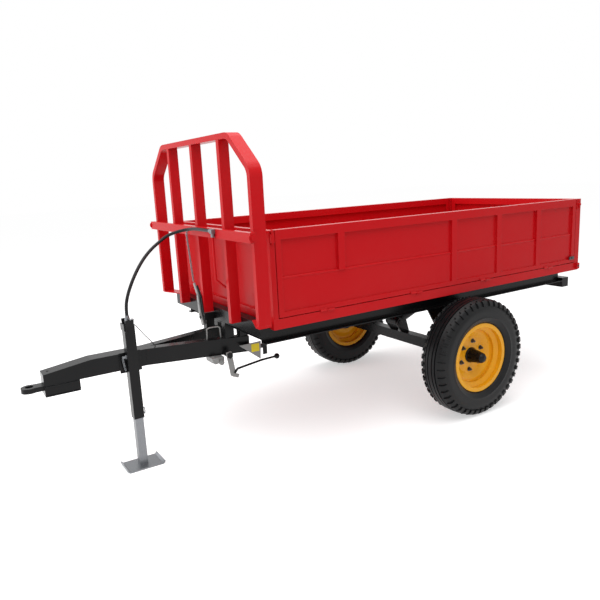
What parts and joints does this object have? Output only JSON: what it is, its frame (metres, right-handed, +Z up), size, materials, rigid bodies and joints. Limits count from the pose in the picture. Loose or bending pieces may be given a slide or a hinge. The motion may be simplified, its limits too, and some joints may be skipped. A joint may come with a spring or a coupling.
{
  "type": "tipping farm trailer",
  "caption": "Single-axle tipping farm trailer: steel bed with drop sides and hung tailgate, tall headboard rack, A-frame drawbar with tow eye, square drop jack and tipping ram.",
  "frame": {"origin": "on the ground under the middle of the overall length and width", "axes": "+X the trailer's left side, +Y rearward away from the tow eye, +Z up"},
  "size_m": [1.595, 3.765, 1.792],
  "materials": {
    "red_paint": "gloss red enamel over steel",
    "black_paint": "satin black enamel over steel",
    "yellow_paint": "semi-gloss amber yellow enamel",
    "tyre_rubber": "moulded black rubber",
    "zinc": "bright zinc plate",
    "chrome": "ground hard chrome",
    "bare_steel": "oiled turned steel",
    "pad_rubber": "matt rubber"
  },
  "bodies": {
    "chassis": {"drawbar_nose": "black_paint", "drawbar_arm_left": "black_paint", "drawbar_arm_right": "black_paint", "tow_eye": "black_paint", "eye_holder": "black_paint", "chassis_rails": "black_paint", "chassis_crossmembers": "black_paint", "arm_spacers": "black_paint", "rear_cross_tube": "black_paint", "hinge_lugs": "black_paint", "tip_hinge_pins": "bare_steel", "rest_pads": "pad_rubber", "axle_beam": "black_paint", "axle_hangers": "black_paint", "ram_base_lugs": "black_paint", "rack_arch": "red_paint", "rack_bars": "red_paint", "rack_rail": "red_paint", "rack_beam": "black_paint", "rack_gussets": "red_paint", "jack_sleeve": "black_paint", "jack_bracket": "black_paint", "hydraulic_hose": "tyre_rubber", "hose_fittings": "zinc"},
    "wheel_left": {"tyre_left": "tyre_rubber", "rim_left": "yellow_paint", "hub_left": "black_paint"},
    "wheel_right": {"tyre_right": "tyre_rubber", "rim_right": "yellow_paint", "hub_right": "black_paint"},
    "side_left": {"side_left": "red_paint"},
    "side_right": {"side_right": "red_paint"},
    "tailgate": {"tailgate": "red_paint"},
    "ram_barrel": {"ram_barrel": "black_paint"},
    "ram_rod": {"ram_rod": "chrome"},
    "jack_leg": {"jack_leg": "zinc"},
    "bed": {"bed_floor": "red_paint", "bed_sills": "red_paint", "bed_end_sills": "red_paint", "bed_bearers": "red_paint", "bed_beams": "red_paint", "side_hinges": "red_paint", "front_panel": "red_paint", "rear_posts": "red_paint", "ram_top_lugs": "red_paint"}
  },
  "joints": [
    {"name": "bed_tip", "type": "hinge", "parent": "chassis", "child": "bed", "pos_m": [0, 1.8475, 0.75], "axis": [-1, 0, 0], "range_deg": [0, 45]},
    {"name": "ram_swing", "type": "hinge", "parent": "chassis", "child": "ram_barrel", "pos_m": [0, 0.6325, 0.49], "axis": [1, 0, 0], "range_deg": [0, 19.5]},
    {"name": "ram_extend", "type": "slide", "parent": "ram_barrel", "child": "ram_rod", "axis": [0, 0.9305, 0.3663], "range_m": [0, 0.3629]},
    {"name": "side_left_drop", "type": "hinge", "parent": "bed", "child": "side_left", "pos_m": [0.642, 0, 0.8425], "axis": [0, 1, 0], "range_deg": [0, 90]},
    {"name": "side_right_drop", "type": "hinge", "parent": "bed", "child": "side_right", "pos_m": [-0.642, 0, 0.8425], "axis": [0, -1, 0], "range_deg": [0, 90]},
    {"name": "tailgate_swing", "type": "hinge", "parent": "bed", "child": "tailgate", "pos_m": [0, 1.8355, 1.285], "axis": [1, 0, 0], "range_deg": [0, 85]},
    {"name": "wheel_left_spin", "type": "hinge", "parent": "chassis", "child": "wheel_left", "pos_m": [0.6975, 0.6805, 0.378], "axis": [1, 0, 0], "continuous": true},
    {"name": "wheel_right_spin", "type": "hinge", "parent": "chassis", "child": "wheel_right", "pos_m": [-0.6975, 0.6805, 0.378], "axis": [1, 0, 0], "continuous": true},
    {"name": "jack_slide", "type": "slide", "parent": "chassis", "child": "jack_leg", "axis": [0, 0, 1], "range_m": [0, 0.25]}
  ],
  "couplings": [
    {"joint": "ram_swing", "follows": "bed_tip", "ratio": 0.41129},
    {"joint": "ram_extend", "follows": "bed_tip", "m_per_rad": 0.45566}
  ]
}
